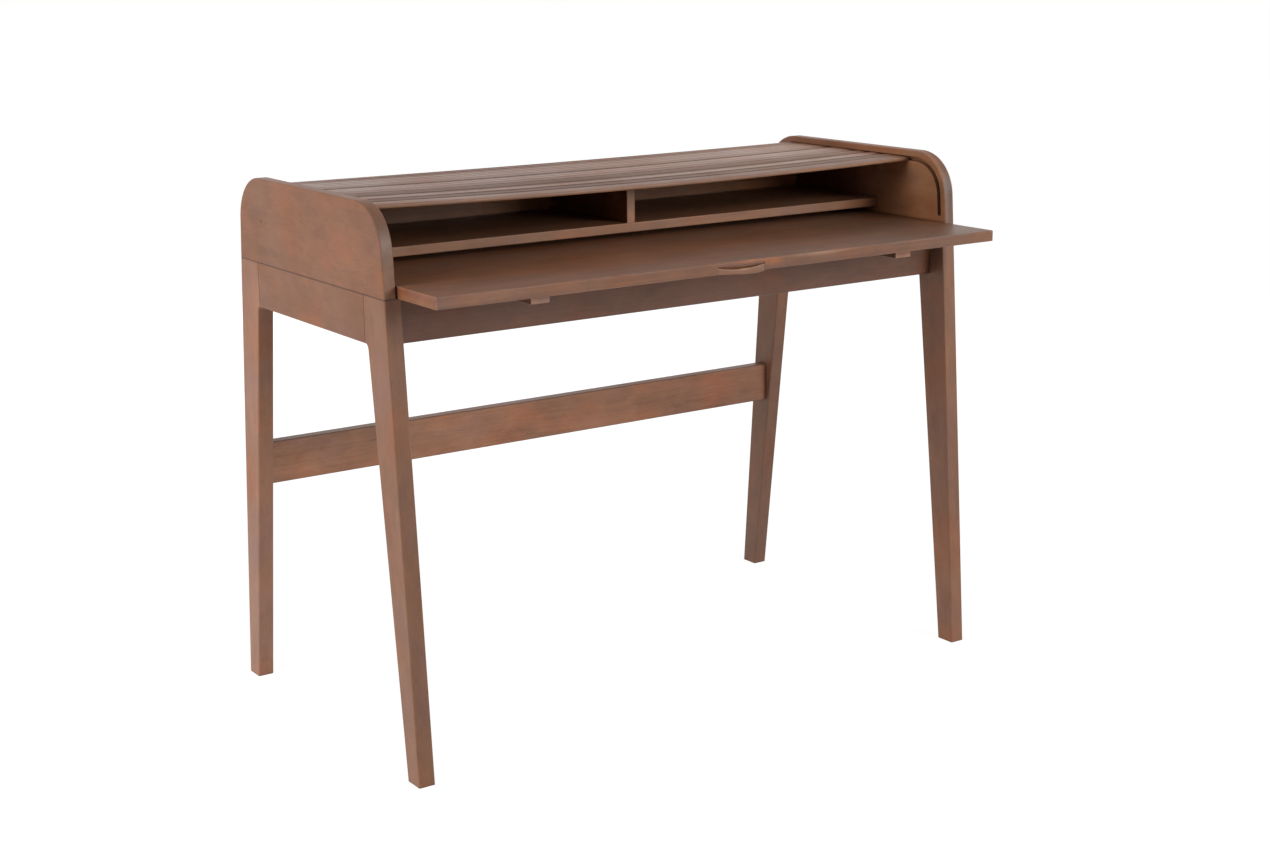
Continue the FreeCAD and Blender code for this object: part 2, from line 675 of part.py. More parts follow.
# ---- tambour curtain -----------------------------------------------------------------------
def slat_section(width, inner, bevel):
    """Corners of a slat's section as (along the track, outwards), clockwise from its front."""
    half = width / 2
    return [
        (half, 0.0), (half, SLAT_OUTER - bevel), (half - bevel, SLAT_OUTER),
        (-half + bevel, SLAT_OUTER), (-half, SLAT_OUTER - bevel), (-half, 0.0),
        (-half + SLAT_RELIEF, -inner), (half - SLAT_RELIEF, -inner),
    ]


def slat_at(run, width, inner=SLAT_INNER, bevel=SLAT_BEVEL):
    """A slat across the case, laid on the track with its middle at run."""
    y, z, turn = track_point(run)
    x = PANEL_IN - SLAT_END_GAP
    points = []
    for ahead, out in slat_section(width, inner, bevel):
        along = V(0, -math.cos(turn) * ahead, -math.sin(turn) * ahead)
        outward = V(0, -math.sin(turn) * out, math.cos(turn) * out)
        points.append(V(-x, y, z) + along + outward)
    return prism(points, V(2 * x, 0, 0))


def lead_rail():
    """The curtain's front rail, a wider and thicker slat that the hand takes."""
    run = -CURTAIN_FRONT - LEAD_WIDE / 2
    rail = slat_at(run, LEAD_WIDE - SLAT_GAP, LEAD_INNER)
    front = -CURVE_Y + CURTAIN_FRONT + SLAT_GAP / 2
    return rail.makeFillet(LEAD_EDGE_R, edges_where(rail, lambda e: all_near(e, "Y", front)
                                                    and e.Length > HALF))


def slat_run(number):
    """Middle of a slat on the track, counted from 1 behind the lead rail."""
    return -CURTAIN_FRONT - LEAD_WIDE - SLAT_PITCH * (number - 0.5)


def canvas():
    """The cloth that the slats are glued to, from the lead rail to the last slat."""
    near = GROOVE_INSET + SLAT_INNER + CANVAS_GLUE
    far = near + CANVAS_THICK
    x = PANEL_IN - CANVAS_END_INSET
    tail_y, tail_z, tail_turn = track_point(slat_run(SLAT_COUNT) - (SLAT_PITCH - SLAT_GAP) / 2)
    sheet = track_ring(near, far, tail_z, -x, x)
    start = -CURVE_Y + CURTAIN_FRONT + LEAD_WIDE
    return sheet.cut(box(-HALF, HALF, -FOOT_DEPTH, start, 0, HEIGHT))


# ---- write every piece ---------------------------------------------------------------------
def save_pairs():
    """Pieces that are mirrored left to right, and front to back."""
    leg = front_leg()
    back_leg = mirror_y(leg)
    back_holes = holes(stretcher_dowel_places(), X_AXIS, DOWEL_D, FRAME_DOWEL_LONG)
    back_leg = cut_all(back_leg, back_holes)
    cleat = front_cleat()
    pairs = {
        "side_panel": side_panel(),
        "side_rail": side_rail(),
        "leg_front": leg,
        "leg_back": back_leg,
        "corner_cleat_front": cleat,
        "corner_cleat_back": mirror_y(cleat),
        "worktop_runner": runner(),
        "worktop_stop": stop_block(),
    }
    for name, shape in pairs.items():
        save(name + "_right", shape)
        save(name + "_left", mirror_x(shape))


def save_boards():
    save("front_apron", apron(-APRON_OUT))
    save("back_apron", apron(APRON_OUT))
    save("back_stretcher", stretcher())
    save("worktop", worktop())
    save("finger_pull", finger_pull())
    save("shelf", shelf())
    save("shelf_divider", divider())
    save("inner_back", inner_back())


def save_fasteners():
    panel_spots = both_sides(panel_dowel_places())
    rail_spots = front_and_back(both_sides(rail_dowel_places()))
    apron_spots = front_and_back(both_sides(apron_dowel_places(-APRON_OUT)))
    stretcher_spots = both_sides(stretcher_dowel_places())
    save("panel_dowels", pegs(panel_spots, Z_AXIS, DOWEL_D, PANEL_DOWEL_LONG))
    save("rail_dowels", pegs(rail_spots, Y_AXIS, DOWEL_D, FRAME_DOWEL_LONG))
    save("apron_dowels", pegs(apron_spots, X_AXIS, DOWEL_D, FRAME_DOWEL_LONG))
    save("stretcher_dowels", pegs(stretcher_spots, X_AXIS, DOWEL_D, FRAME_DOWEL_LONG))
    case = pegs(both_sides(case_side_dowel_places()), X_AXIS, CASE_DOWEL_D, CASE_DOWEL_LONG)
    case += pegs(shelf_back_dowel_places(), Y_AXIS, CASE_DOWEL_D, CASE_DOWEL_LONG)
    case += pegs(divider_dowel_places(), Z_AXIS, CASE_DOWEL_D, CASE_DOWEL_LONG)
    save("case_dowels", case)
    right = cleat_frame_screws()
    frame_screws = right + [mirror_x(s) for s in right]
    save("cleat_screws", frame_screws + cleat_apron_screws(0.0, -1) + cleat_apron_screws(0.0, 1))
    save("worktop_screws", worktop_screws())


def save_curtain():
    save("tambour_lead_rail", lead_rail())
    for number in range(1, SLAT_COUNT + 1):
        save("tambour_slat_%02d" % number, slat_at(slat_run(number), SLAT_PITCH - SLAT_GAP))
    save("tambour_canvas", canvas())


os.makedirs("parts", exist_ok=True)
save_pairs()
save_boards()
save_fasteners()
save_curtain()
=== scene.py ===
import math

import bmesh
import bpy
from mathutils import Matrix, Vector

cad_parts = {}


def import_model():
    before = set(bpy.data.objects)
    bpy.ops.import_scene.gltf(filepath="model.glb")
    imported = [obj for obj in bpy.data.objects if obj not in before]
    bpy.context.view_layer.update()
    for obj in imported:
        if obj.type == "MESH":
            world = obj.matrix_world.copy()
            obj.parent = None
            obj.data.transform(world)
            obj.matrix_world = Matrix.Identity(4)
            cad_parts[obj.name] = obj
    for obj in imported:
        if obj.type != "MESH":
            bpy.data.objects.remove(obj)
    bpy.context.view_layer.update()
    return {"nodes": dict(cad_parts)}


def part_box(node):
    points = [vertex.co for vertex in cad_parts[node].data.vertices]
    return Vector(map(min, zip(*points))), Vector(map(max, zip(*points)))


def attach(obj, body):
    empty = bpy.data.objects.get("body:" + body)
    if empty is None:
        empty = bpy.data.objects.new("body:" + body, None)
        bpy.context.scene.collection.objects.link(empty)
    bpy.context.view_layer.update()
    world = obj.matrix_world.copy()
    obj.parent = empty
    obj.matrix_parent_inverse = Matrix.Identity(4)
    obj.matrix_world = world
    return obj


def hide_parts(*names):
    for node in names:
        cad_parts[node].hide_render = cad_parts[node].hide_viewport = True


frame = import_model()
nodes = frame["nodes"]
MM = 0.001

# ---- sizes that the CAD has too, in mm from the middle of the feet -----------------------------
SHIFT_Y = 29.75             # from the middle of the feet to the row's own frame
HEIGHT = 860.0
SEAM_HEIGHT = 725.0         # where the side panels stand on the side frames
SEAM_HALF = 247.0           # half of a side frame's depth there
SPLAY = 55.0 / 725.0        # how far a leg runs out for each mm down
LEAN = math.atan(SPLAY)
CORNER_R = 75.0             # the side panels' corners
WORKTOP_UNDER = 725.6
WORKTOP_OVER = 743.6
WORKTOP_EDGE = -361.5       # the worktop's front edge, drawn out

# the curtain's track: flat on top, with a curve and a straight run down at either end
TRACK_R = 60.5
CURVE_Y = SEAM_HALF - SPLAY * (HEIGHT - SEAM_HEIGHT) - CORNER_R / math.tan((math.pi / 2 + LEAN) / 2)
CURVE_Z = HEIGHT - CORNER_R
TRACK_TURN = math.pi / 2 - LEAN
CURTAIN_FRONT = 17.7        # from the front curve's start to the open curtain
LEAD_WIDE = 36.0
SLAT_PITCH = 18.1
SLAT_COUNT = 24
SLAT_END = 529.7            # half the length of a slat, and below of one with its tongues
TONGUE_END = 536.6
SAG_FRONT = 7.5             # how far the middle of the curtain hangs, in front and behind
SAG_BACK = 4.0


def track_point(run):
    """Place and turn on the track. run is 0 where the front curve starts, + towards the front."""
    flat = 2 * CURVE_Y
    if -flat <= run <= 0:
        return -CURVE_Y - run, CURVE_Z + TRACK_R, 0.0
    side = -1 if run > 0 else 1
    past = run if run > 0 else -run - flat
    turn = min(past / TRACK_R, TRACK_TURN)
    rest = max(past - TRACK_R * TRACK_TURN, 0.0)
    y = CURVE_Y + TRACK_R * math.sin(turn) + rest * math.cos(turn)
    z = CURVE_Z + TRACK_R * math.cos(turn) - rest * math.sin(turn)
    return side * y, z, -side * turn


def sag_at(run, x):
    """How far the curtain hangs below its ends, at x across the case."""
    span = 2 * CURVE_Y - CURTAIN_FRONT
    back = -run - CURTAIN_FRONT
    if back <= span:
        deep = SAG_FRONT + (SAG_BACK - SAG_FRONT) * max(back, 0.0) / span
    else:
        deep = SAG_BACK * max(0.0, 1 - (back - span) / (TRACK_R * TRACK_TURN))
    return deep * (1 - min(abs(x) / SLAT_END, 1.0) ** 2)


def off_track(base, ahead, out, x):
    """Row metres of a point ahead of and above a track_point, at x across the case."""
    y, z, turn = base
    py = y - math.cos(turn) * ahead - math.sin(turn) * out
    pz = z - math.sin(turn) * ahead + math.cos(turn) * out
    return (x * MM, (py + SHIFT_Y) * MM, pz * MM)


# ---- node helpers ----------------------------------------------------------------------------
class Tree:
    """Short hands for building the nodes of a material or of the world."""

    def __init__(self, material):
        material.use_nodes = True
        self.nodes = material.node_tree.nodes
        self.links = material.node_tree.links
        self.nodes.clear()

    def add(self, kind, inputs=None, **settings):
        node = self.nodes.new("ShaderNode" + kind)
        for key, value in settings.items():
            setattr(node, key, value)
        for key, value in (inputs or {}).items():
            socket = node.inputs[key]
            if isinstance(value, bpy.types.NodeSocket):
                self.links.new(value, socket)
            else:
                socket.default_value = value
        return node

    def math(self, operation, a, b=0.0, clamp=False):
        node = self.add("Math", {0: a, 1: b}, operation=operation, use_clamp=clamp)
        return node.outputs[0]

    def scaled(self, vector, by):
        node = self.add("VectorMath", {0: vector, 1: by}, operation="MULTIPLY")
        return node.outputs[0]

    def noise(self, vector, scale, detail=2.0, rough=0.5, distort=0.0):
        inputs = {"Vector": vector, "Scale": scale, "Detail": detail, "Roughness": rough,
                  "Distortion": distort}
        return self.add("TexNoise", inputs).outputs["Fac"]

    def span(self, value, low, high, to_low=0.0, to_high=1.0):
        node = self.add("MapRange", {0: value, 1: low, 2: high, 3: to_low, 4: to_high})
        return node.outputs[0]

    def mix(self, factor, a, b, blend="MIX"):
        node = self.add("Mix", {0: factor, 6: a, 7: b}, data_type="RGBA", blend_type=blend)
        return node.outputs[2]

    def finish(self, colour, rough, height, depth):
        """The shader and the output. depth is the bump's, in metres."""
        bump = self.add("Bump", {"Height": height, "Strength": 0.6, "Distance": depth})
        shader = self.add("BsdfPrincipled", {"Base Color": colour, "Roughness": rough,
                                             "IOR": 1.45, "Normal": bump.outputs[0]})
        self.add("OutputMaterial", {0: shader.outputs[0]})
        return shader


def linear(red, green, blue):
    """A colour written as it is seen, 0 to 255, as the shader takes it."""
    def one(value):
        value /= 255.0
        return value / 12.92 if value <= 0.04045 else ((value + 0.055) / 1.055) ** 2.4
    return (one(red), one(green), one(blue), 1.0)


def shade(colour, by):
    """A colour, lighter or darker."""
    return tuple(channel * by for channel in colour[:3]) + (1.0,)


# ---- wood ------------------------------------------------------------------------------------
STAIN = linear(127, 83, 56)
# the figure's layers: how each is drawn out along the grain, and its noise's scale, detail,
# roughness and distortion
CLOUDS = ((0.7, 1.5, 1.5), 9.0, 3.0, 0.55, 0.4)
PATCHES = ((0.55, 1.0, 1.0), 38.0, 3.0, 0.55, 0.5)
BANDS = ((0.045, 1.0, 1.0), 58.0, 3.0, 0.6)
STREAKS = ((0.025, 1.0, 1.0), 240.0, 3.0, 0.62)
FIBRES = ((0.03, 1.0, 1.0), 1050.0, 2.0, 0.6)
PORES = ((0.06, 1.0, 1.0), 1500.0, 1.0, 0.5)
HUES = ((0.8, 1.3, 1.3), 13.0, 2.0)
REDDER = (1.10, 0.95, 0.85, 1.0)
GREYER = (0.96, 0.98, 1.14, 1.0)
RUBBED_AND_HIGHLIT = (1.65, 1.95, 2.35)     # an arris, its stain thinned by use and lit as a painted highlight, against the stain
ARRIS = 0.0024                  # how far in the thinned stain and the painted highlight reach
CORNER_SHADE_REACH = 0.0045                   # how far out of a corner the painted shade reaches
DIRECTIONS = {
    "x": Vector((1, 0, 0)),
    "y": Vector((0, 1, 0)),
    "z": Vector((0, 0, 1)),
    "leg_front": Vector((0, -math.sin(LEAN), -math.cos(LEAN))),
    "leg_back": Vector((0, math.sin(LEAN), -math.cos(LEAN))),
}


def grain_turn(direction):
    """Turns row coordinates so that the grain runs along X."""
    along = DIRECTIONS[direction]
    side = Vector((0, 0, 1)) if abs(along.z) < 0.5 else Vector((1, 0, 0))
    across = side.cross(along).normalized()
    up = along.cross(across)
    return Matrix((along, across, up)).to_euler()


def centred(t, value, by):
    """A noise about its middle, scaled."""
    return t.math("MULTIPLY", t.math("SUBTRACT", value, 0.5), by)


def tinted(colour, by):
    """A colour with its channels scaled one by one, none above 1."""
    return tuple(min(c * k, 1.0) for c, k in zip(colour[:3], by)) + (1.0,)


def spot(t, place, centre, size):
    """1 at centre and 0 beyond size (half widths), all in row metres."""
    moved = t.add("VectorMath", {0: place, 1: centre}, operation="SUBTRACT").outputs[0]
    sized = t.scaled(moved, tuple(1 / s for s in size))
    far = t.add("VectorMath", {0: sized}, operation="LENGTH").outputs["Value"]
    return t.span(far, 1.0, 0.0)


def along_axis(t, vector, direction, offset=0.0):
    """How far a place lies along a direction, less an offset."""
    node = t.add("VectorMath", {0: vector, 1: direction}, operation="DOT_PRODUCT")
    return t.math("SUBTRACT", node.outputs["Value"], offset)


def wood(name, direction, seed, tint=(1, 1, 1), rough=0.45, streak=1.0, mottle=1.0, tone=0.0,
         wear_and_highlight=1.0, corner_shade=0.85, ends=None, painted_front_light=None, shade_lines=(), marks=(), layers=False):
    """Stained wood. streak and mottle are the strength of its figure, along the grain and in
    patches, tone makes it lighter or darker, wear_and_highlight is how much the arrises are
    thinned by use and lit as a painted highlight, and corner_shade is how much painted shade
    lies in the nooks. ends tints the end grain, painted_front_light lightens the faces that
    face the front as painted light, shade_lines are thin bands of painted shade at (direction,
    place, half width, strength), marks are places at (centre, half widths, strength, colour
    against the stain), some of them patches of painted light and shade, and layers adds the
    bands of a jointed board."""
    stain = tinted(STAIN, tint)
    material = bpy.data.materials.new(name)
    t = Tree(material)
    place = t.add("TexCoord").outputs["Object"]
    turned = t.add("Mapping", {"Vector": place, "Rotation": grain_turn(direction)}).outputs[0]
    offset = Vector((seed * 1.37, seed * 0.73 + 0.21, seed * 0.41))
    grain = t.add("VectorMath", {0: turned, 1: offset}, operation="ADD").outputs[0]

    # the board's figure wanders a little across the grain
    wander = t.noise(t.scaled(grain, (1.0, 2.5, 2.5)), 2.6, 2.0)
    drift = t.add("CombineXYZ", {"Y": centred(t, wander, 0.022), "Z": centred(t, wander, 0.012)})
    grain = t.add("VectorMath", {0: grain, 1: drift.outputs[0]}, operation="ADD").outputs[0]

    def layer(stretch, *settings):
        return t.noise(t.scaled(grain, stretch), *settings)

    streaks, fibres = layer(*STREAKS), layer(*FIBRES)
    pores = t.span(layer(*PORES), 0.62, 0.74)
    value = centred(t, layer(*CLOUDS), 0.70 * mottle)
    for noise, weight in ((layer(*PATCHES), 0.52 * mottle), (layer(*BANDS), 0.46 * streak),
                          (streaks, 0.40 * streak), (fibres, 0.26)):
        value = t.math("ADD", value, centred(t, noise, weight))
    value = t.math("ADD", value, 0.5 + tone, clamp=True)
    ramp = t.add("ValToRGB", {"Fac": value})
    stops = ramp.color_ramp.elements
    stops[0].position, stops[0].color = 0.10, shade(stain, 0.58)
    stops[1].position, stops[1].color = 0.90, shade(stain, 1.40)
    stops.new(0.5).color = stain
    colour = ramp.outputs[0]

    hue = layer(*HUES)
    colour = t.mix(t.span(hue, 0.50, 0.68), colour, REDDER, "MULTIPLY")
    colour = t.mix(t.span(hue, 0.48, 0.30), colour, GREYER, "MULTIPLY")
    colour = t.mix(t.math("MULTIPLY", pores, 0.38), colour, shade(stain, 0.36))
    for centre, size, depth, by in marks:
        inside = t.math("MULTIPLY", spot(t, place, centre, size), depth)
        colour = t.mix(inside, colour, by + (1.0,), "MULTIPLY")
    if layers:
        colour = board_layers(t, place, colour)
    normal = t.add("NewGeometry").outputs["Normal"]
    if ends:
        facing = t.math("ABSOLUTE", along_axis(t, normal, DIRECTIONS[direction]))
        colour = t.mix(t.span(facing, 0.60, 0.92), colour, ends + (1.0,), "MULTIPLY")
    # painted light: the faces that face the front are lightened
    if painted_front_light:
        facing = along_axis(t, normal, (0, -1, 0))
        colour = t.mix(t.span(facing, 0.60, 0.85), colour, painted_front_light + (1.0,), "MULTIPLY")

    # stain thinned on the arrises by use, with a painted highlight on them, and painted shade where
    # pieces meet
    bevel = t.add("Bevel", {"Radius": ARRIS}, samples=4)
    facing = t.add("VectorMath", {0: bevel.outputs[0], 1: normal}, operation="DOT_PRODUCT")
    edge = t.span(facing.outputs["Value"], 0.995, 0.90)
    patchy = t.span(t.noise(place, 48.0, 3.0), 0.30, 0.68, 0.25, 1.0)
    worn_and_highlit = t.math("MULTIPLY", t.math("MULTIPLY", edge, patchy), 0.42 * wear_and_highlight)
    colour = t.mix(worn_and_highlit, colour, tinted(stain, RUBBED_AND_HIGHLIT))
    # painted shade: darker where other surfaces stand close by
    occlusion = t.add("AmbientOcclusion", {"Distance": CORNER_SHADE_REACH}, samples=6)
    corner_shade_mask = t.span(occlusion.outputs["AO"], 0.80, 0.30, 0.0, corner_shade)
    colour = t.mix(corner_shade_mask, colour, shade(stain, 0.20))
    # painted shade in thin dark bands along joints and edges
    for axis, at, half, depth in shade_lines:
        off = t.math("ABSOLUTE", along_axis(t, place, axis, at))
        colour = t.mix(t.span(off, half, half * 0.45, 0.0, depth), colour, shade(stain, 0.22))

    smudge = t.noise(place, 9.0, 3.0)
    gloss = t.span(smudge, 0.3, 0.7, rough - 0.05, rough + 0.06)
    gloss = t.math("ADD", gloss, t.math("MULTIPLY", pores, 0.12))
    height = t.math("MULTIPLY", streaks, 0.4)
    height = t.math("SUBTRACT", height, t.math("MULTIPLY", pores, 0.8))
    height = t.math("ADD", height, t.math("MULTIPLY", fibres, 0.25))
    t.finish(colour, gloss, height, depth=0.00016)
    return material


def board_layers(t, place, colour):
    """The bands of a jointed board, seen on the worktop's sawn ends."""
    normal = t.add("SeparateXYZ", {"Vector": t.add("NewGeometry").outputs["Normal"]}).outputs["X"]
    end = t.span(t.math("ABSOLUTE", normal), 0.75, 0.95)
    level = t.add("SeparateXYZ", {"Vector": place}).outputs["Z"]
    ripple = centred(t, t.noise(place, 30.0, 2.0), 0.004)
    share = t.span(t.math("ADD", level, ripple), WORKTOP_UNDER * MM, WORKTOP_OVER * MM)
    ramp = t.add("ValToRGB", {"Fac": share})
    stops = ramp.color_ramp.elements
    stops[0].position, stops[0].color = 0.0, (1.04, 1.02, 0.90, 1.0)
    stops[1].position, stops[1].color = 1.0, (1.10, 1.06, 1.08, 1.0)
    stops.new(0.36).color = (1.06, 1.03, 0.90, 1.0)
    stops.new(0.50).color = (0.98, 0.82, 0.80, 1.0)
    stops.new(0.74).color = (0.94, 0.80, 0.80, 1.0)
    return t.mix(end, colour, ramp.outputs[0], "MULTIPLY")


# ---- steel and cloth -------------------------------------------------------------------------
THREADS = 5200.0            # radians per metre of cloth, two threads to a turn


def steel(name):
    """A plated screw, a little tarnished."""
    material = bpy.data.materials.new(name)
    t = Tree(material)
    place = t.add("TexCoord").outputs["Object"]
    tarnish = t.span(t.noise(place, 420.0, 4.0, 0.65), 0.35, 0.75)
    colour = t.mix(tarnish, (0.50, 0.46, 0.36, 1.0), (0.66, 0.63, 0.55, 1.0))
    rough = t.span(t.noise(place, 900.0, 3.0), 0.3, 0.7, 0.26, 0.44)
    shader = t.finish(colour, rough, t.noise(place, 2600.0, 2.0), depth=0.00003)
    shader.inputs["Metallic"].default_value = 1.0
    return material


def cloth(name):
    """Dark canvas in plain weave."""
    material = bpy.data.materials.new(name)
    t = Tree(material)
    place = t.add("TexCoord").outputs["Object"]
    axes = t.add("SeparateXYZ", {"Vector": place})
    warp = t.math("SINE", t.math("MULTIPLY", axes.outputs["X"], THREADS))
    depth = t.math("ADD", axes.outputs["Y"], axes.outputs["Z"])
    weft = t.math("SINE", t.math("MULTIPLY", depth, THREADS))
    weave = t.math("ADD", t.math("MULTIPLY", t.math("MULTIPLY", warp, weft), 0.5), 0.5)
    fade = t.noise(place, 30.0, 3.0)
    tone = t.math("ADD", t.math("MULTIPLY", weave, 0.6), t.math("MULTIPLY", fade, 0.4))
    colour = t.mix(tone, (0.020, 0.015, 0.012, 1.0), (0.085, 0.066, 0.052, 1.0))
    rough = t.span(fade, 0.3, 0.7, 0.85, 0.97)
    shader = t.finish(colour, rough, weave, depth=0.00025)
    shader.inputs["Sheen Weight"].default_value = 0.3
    return material


# ---- materials on the CAD pieces -------------------------------------------------------------
def dress(name, material):
    """Put a material on every slot of a CAD node."""
    slots = nodes[name].data.materials
    if not len(slots):
        slots.append(material)
    for index in range(len(slots)):
        slots[index] = material


# painted shade in the joints of the side frames, and along the edges of a cross rail
SEAM_SHADE = ((0, 0, 1), SEAM_HEIGHT * MM, 0.0020, 0.48)
RAIL_FRONT, RAIL_BACK = (corner[1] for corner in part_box("side_rail_left"))
FRAME_JOINT_SHADE = [SEAM_SHADE, ((0, 1, 0), RAIL_FRONT, 0.0016, 0.80), ((0, 1, 0), RAIL_BACK, 0.0013, 0.50)]


def long_edge_shade(name):
    """Painted shade along the upper and the lower edge of a cross rail."""
    return [((0, 0, 1), corner[2], 0.0022, 0.50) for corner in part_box(name)]


def leg(direction, tint):
    """The looks of a leg."""
    return direction, {"streak": 0.5, "mottle": 0.9, "shade_lines": FRAME_JOINT_SHADE, "tint": tint}


# each piece's grain and looks, by what its name starts with
GRAIN_OF = {
    # the left panel's end grain is tinted lighter and greyer, partly end grain and partly a painted
    # sheen
    "side_panel": ("y", {"streak": 0.4, "ends": (1.08, 1.44, 1.92), "shade_lines": [SEAM_SHADE]}),
    "side_panel_right": ("y", {"streak": 0.4, "ends": (0.62, 0.82, 1.16), "shade_lines": [SEAM_SHADE]}),
    "leg_front": leg("leg_front", (1.06, 1.15, 1.30)),
    "leg_back": leg("leg_back", (1.34, 1.52, 1.86)),
    "leg_back_right": leg("leg_back", (0.75, 0.82, 0.96)),
    "side_rail": ("y", {"streak": 0.4, "shade_lines": FRAME_JOINT_SHADE}),
    # painted shade of the worktop above: the apron is tinted darker and greyer, with bands of painted
    # shade along its long edges
    "front_apron": ("x", {"streak": 0.7, "tint": (0.72, 0.72, 0.82),
                          "shade_lines": long_edge_shade("front_apron")}),
    "back_apron": ("x", {"streak": 0.7, "mottle": 0.9, "tint": (0.9, 0.9, 0.95)}),
    # painted light: the back stretcher is tinted much lighter and greyer, with bands of painted shade
    # along its long edges
    "back_stretcher": ("x", {"streak": 1.1, "mottle": 1.2, "tint": (1.64, 1.86, 2.22),
                             "shade_lines": long_edge_shade("back_stretcher")}),
    # painted shade on the runners' sides and bottom, painted light on their front ends
    "worktop_runner": ("y", {"tint": (0.44, 0.44, 0.46), "painted_front_light": (3.9, 5.0, 6.8)}),
    # painted light on the stop's front faces
    "worktop_stop": ("y", {"painted_front_light": (1.35, 1.50, 1.70)}),
    "worktop": ("x", {"streak": 1.35, "mottle": 0.85, "wear_and_highlight": 1.5, "tint": (0.96, 0.97, 1.0),
                      "layers": True}),
    "shelf": ("x", {"streak": 0.9, "mottle": 0.8, "tint": (0.92, 1.0, 1.08),
                    # painted light on the front faces of the shelf, its divider and the inner back
                    "painted_front_light": (1.58, 1.78, 1.95)}),
    "shelf_divider": ("y", {"streak": 0.6, "mottle": 0.8, "painted_front_light": (1.75, 2.25, 2.80)}),
    "inner_back": ("x", {"streak": 0.8, "mottle": 0.8, "painted_front_light": (1.60, 1.82, 1.80)}),
    "corner_cleat": ("z", {}),
}
# knots, flecks and places of another tone, and patches of painted light and shade: where, half widths,
# strength, colour against the stain
DARK = (0.30, 0.30, 0.30)
WARM = (2.1, 1.6, 1.1)
EDGE = -0.3317              # the worktop's front edge
ALL_ROUND = 10.0            # much wider than the desk
FLOOR_LIGHT_REACH = 0.45           # how far up a leg the painted floor light reaches


def floor_bounce_light(by):
    """Painted light from the floor: a leg's colour turns slowly lighter towards it."""
    return ((0.0, 0.0, 0.0), (ALL_ROUND, ALL_ROUND, FLOOR_LIGHT_REACH), 1.0, by)


MARKS = {
    "leg_front_left": [floor_bounce_light((1.05, 1.08, 1.12))],
    "leg_back_left": [floor_bounce_light((1.15, 1.22, 1.34))],
    "leg_back_right": [floor_bounce_light((1.10, 1.15, 1.20))],
    "side_panel_left": [
        ((-0.550, 0.190, 0.7930), (0.004, 0.006, 0.004), 0.85, DARK),
        ((-0.550, 0.172, 0.7925), (0.004, 0.008, 0.002), 0.55, DARK),
        ((-0.550, 0.072, 0.8250), (0.004, 0.002, 0.009), 0.45, DARK),
        ((-0.550, 0.045, 0.8080), (0.004, 0.006, 0.003), 0.40, DARK),
        ((-0.550, -0.065, 0.7870), (0.004, 0.004, 0.003), 0.50, DARK),
    ],
    "back_stretcher": [
        ((-0.330, 0.267, 0.3900), (0.010, 0.030, 0.003), 0.45, DARK),
        ((-0.300, 0.267, 0.3860), (0.012, 0.030, 0.002), 0.35, DARK),
        # painted shade over the stretcher's right end
        ((0.500, 0.280, 0.380), (0.55, 0.20, 0.20), 1.0, (0.74, 0.68, 0.64)),
    ],
    "inner_back": [
        # painted light on the back board where little light reaches
        ((0.540, 0.1867, 0.800), (0.300, 0.004, 0.200), 1.0, (1.9, 1.9, 1.9)),
        ((-0.060, 0.1867, 0.800), (0.160, 0.004, 0.200), 1.0, (1.7, 1.7, 1.7)),
    ],
    "leg_front_right": [
        # painted shade on the leg's inner face under the worktop
        ((0.523, -0.195, 0.695), (0.012, 0.070, 0.080), 1.0, (0.36, 0.38, 0.44)),
        floor_bounce_light((1.20, 1.20, 1.22)),
    ],
    "side_panel_right": [
        # painted light on the front of the panel's inner face
        ((0.530, -0.120, 0.800), (0.012, 0.220, 0.160), 1.0, (2.2, 2.6, 2.9)),
    ],
    "worktop": [
        ((0.020, EDGE, 0.7415), (0.040, 0.004, 0.005), 0.8, WARM),
        ((0.062, EDGE, 0.7390), (0.026, 0.004, 0.010), 0.9, WARM),
        # a painted highlight along the top of the front edge, right of the pull
        ((0.155, EDGE, 0.7415), (0.085, 0.004, 0.005), 0.9, (2.1, 2.6, 3.0)),
        # painted sheen: bluer at the front edge's left end, lighter and greyer over its left part
        ((-0.545, EDGE, 0.7346), (0.130, 0.004, 0.030), 1.0, (0.90, 0.96, 1.25)),
        ((-0.420, EDGE, 0.7346), (0.240, 0.004, 0.030), 1.0, (1.32, 1.50, 1.70)),
        # painted shade over the right of the top
        ((0.480, -0.150, 0.744), (0.60, 0.50, 0.05), 1.0, (0.72, 0.84, 0.95)),
    ],
}


def grain_of(name):
    """The longest key that the node's name starts with."""
    keys = [key for key in GRAIN_OF if name.startswith(key)]
    return GRAIN_OF[max(keys, key=len)] if keys else None


def dress_all():
    """Every CAD node that stays gets its wood or steel."""
    metal = steel("screw_steel")
    peg = wood("dowel_beech", "x", 3.3, tint=(2.4, 3.4, 3.8), rough=0.7, mottle=0.6, wear_and_highlight=0.3)
    for number, name in enumerate(sorted(nodes)):
        found = grain_of(name)
        if found:
            direction, extra = found
            seed = 0.37 * number + 0.6
            dress(name, wood("wood_" + name, direction, seed, marks=MARKS.get(name, ()), **extra))
        elif name.endswith("screws"):
            dress(name, metal)
        elif name.endswith("dowels"):
            dress(name, peg)


# ---- the curtain's slats ---------------------------------------------------------------------
SLAT_OUT = 2.5              # a slat's face above the track
TONGUE_OUT, TONGUE_IN = 1.7, 3.0
TONGUE_SHORT = 1.0          # how far a tongue stays behind the slat's edge
TONGUE_ROUND = 0.8
CANVAS_OVER, CANVAS_UNDER = -3.75, -4.4
CANVAS_HALF = SLAT_END - 15.0
# slats that ride on bodies of their own, in front and behind
FRONT_SINGLES, BACK_SINGLES = range(1, 6), range(17, 22)
